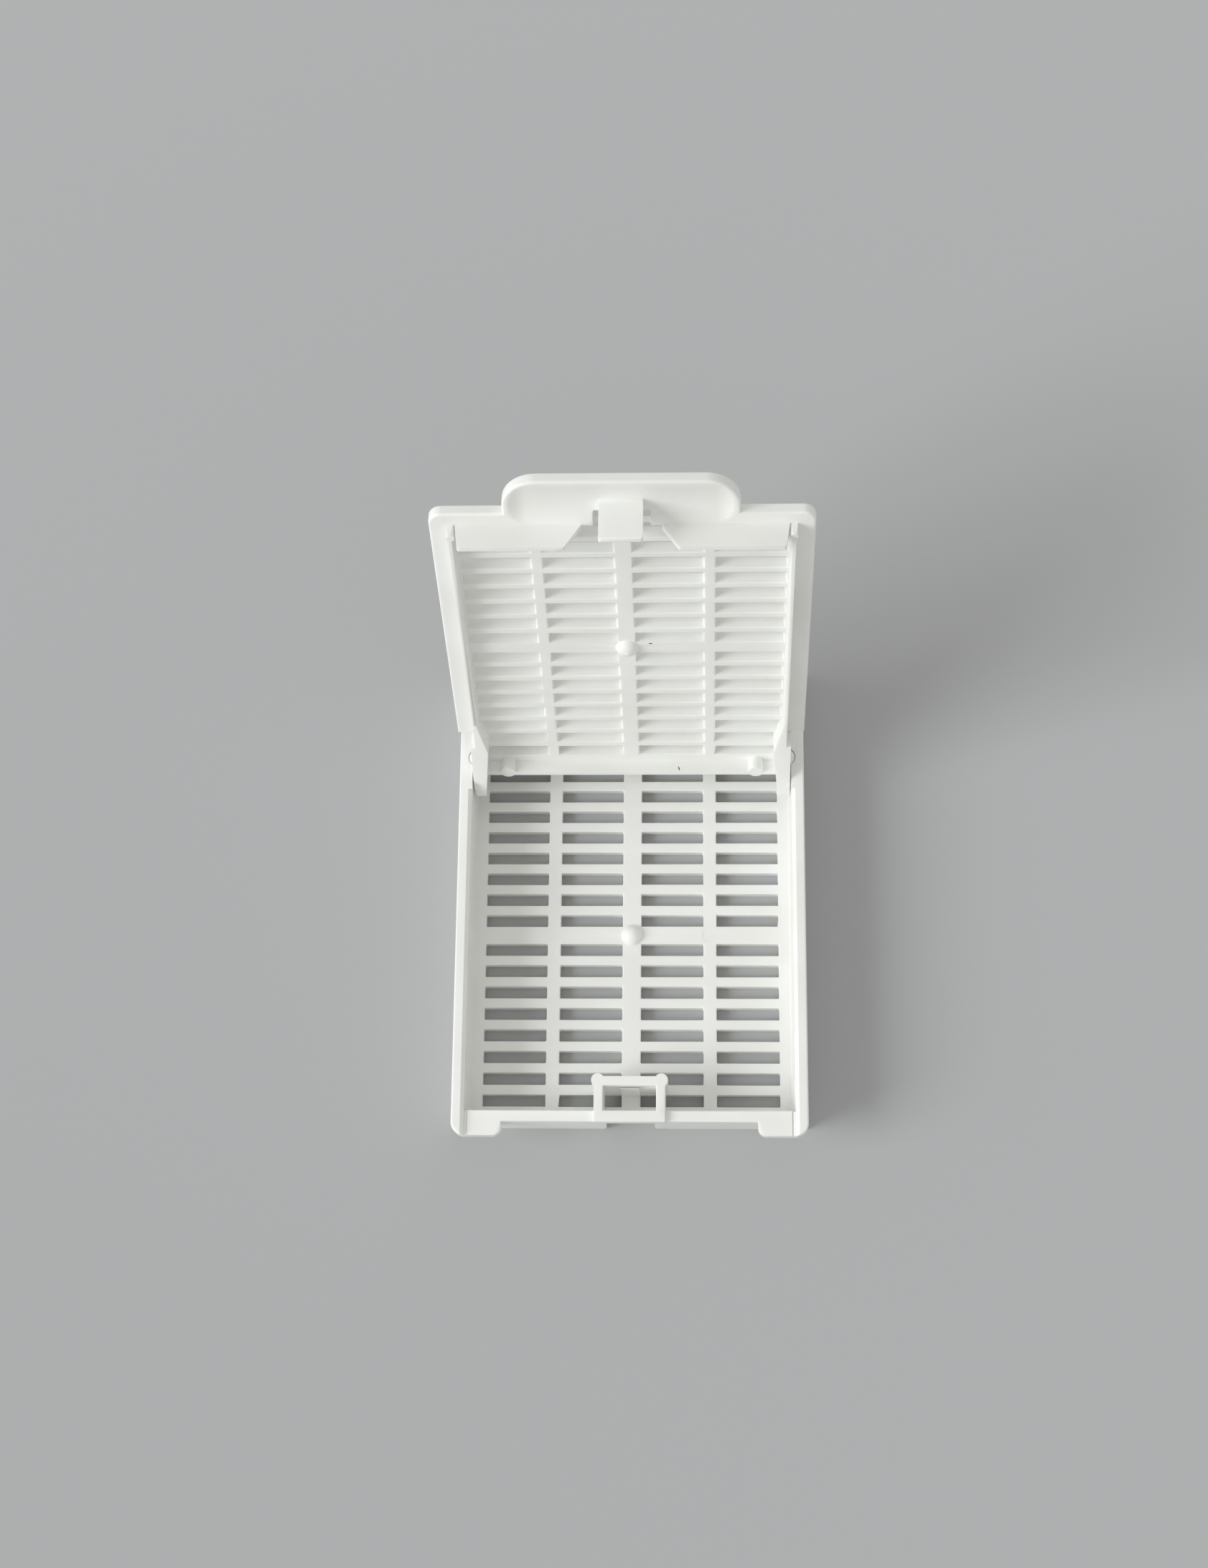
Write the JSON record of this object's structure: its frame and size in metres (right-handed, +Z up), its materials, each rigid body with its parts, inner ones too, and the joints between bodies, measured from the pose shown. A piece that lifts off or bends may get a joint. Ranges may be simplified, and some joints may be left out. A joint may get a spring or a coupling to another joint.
{
  "type": "tissue cassette",
  "caption": "Slotted plastic tray with a writing slope and a hinged slotted lid that closes over the specimen chamber and latches at the front.",
  "frame": {"origin": "centre of the tray's slot pattern, on its underside", "axes": "+X across the cassette, +Y towards the hinge and the writing slope, +Z up"},
  "size_m": [0.0286, 0.0432, 0.0371],
  "materials": {
    "white_plastic": "satin"
  },
  "bodies": {
    "base": {"base": "white_plastic"},
    "lid": {"lid": "white_plastic"}
  },
  "joints": [
    {"name": "lid_hinge", "type": "hinge", "parent": "base", "child": "lid", "pos_m": [0, 0.0141, 0.0053], "axis": [1, 0, 0], "range_deg": [0, 108.6]}
  ]
}
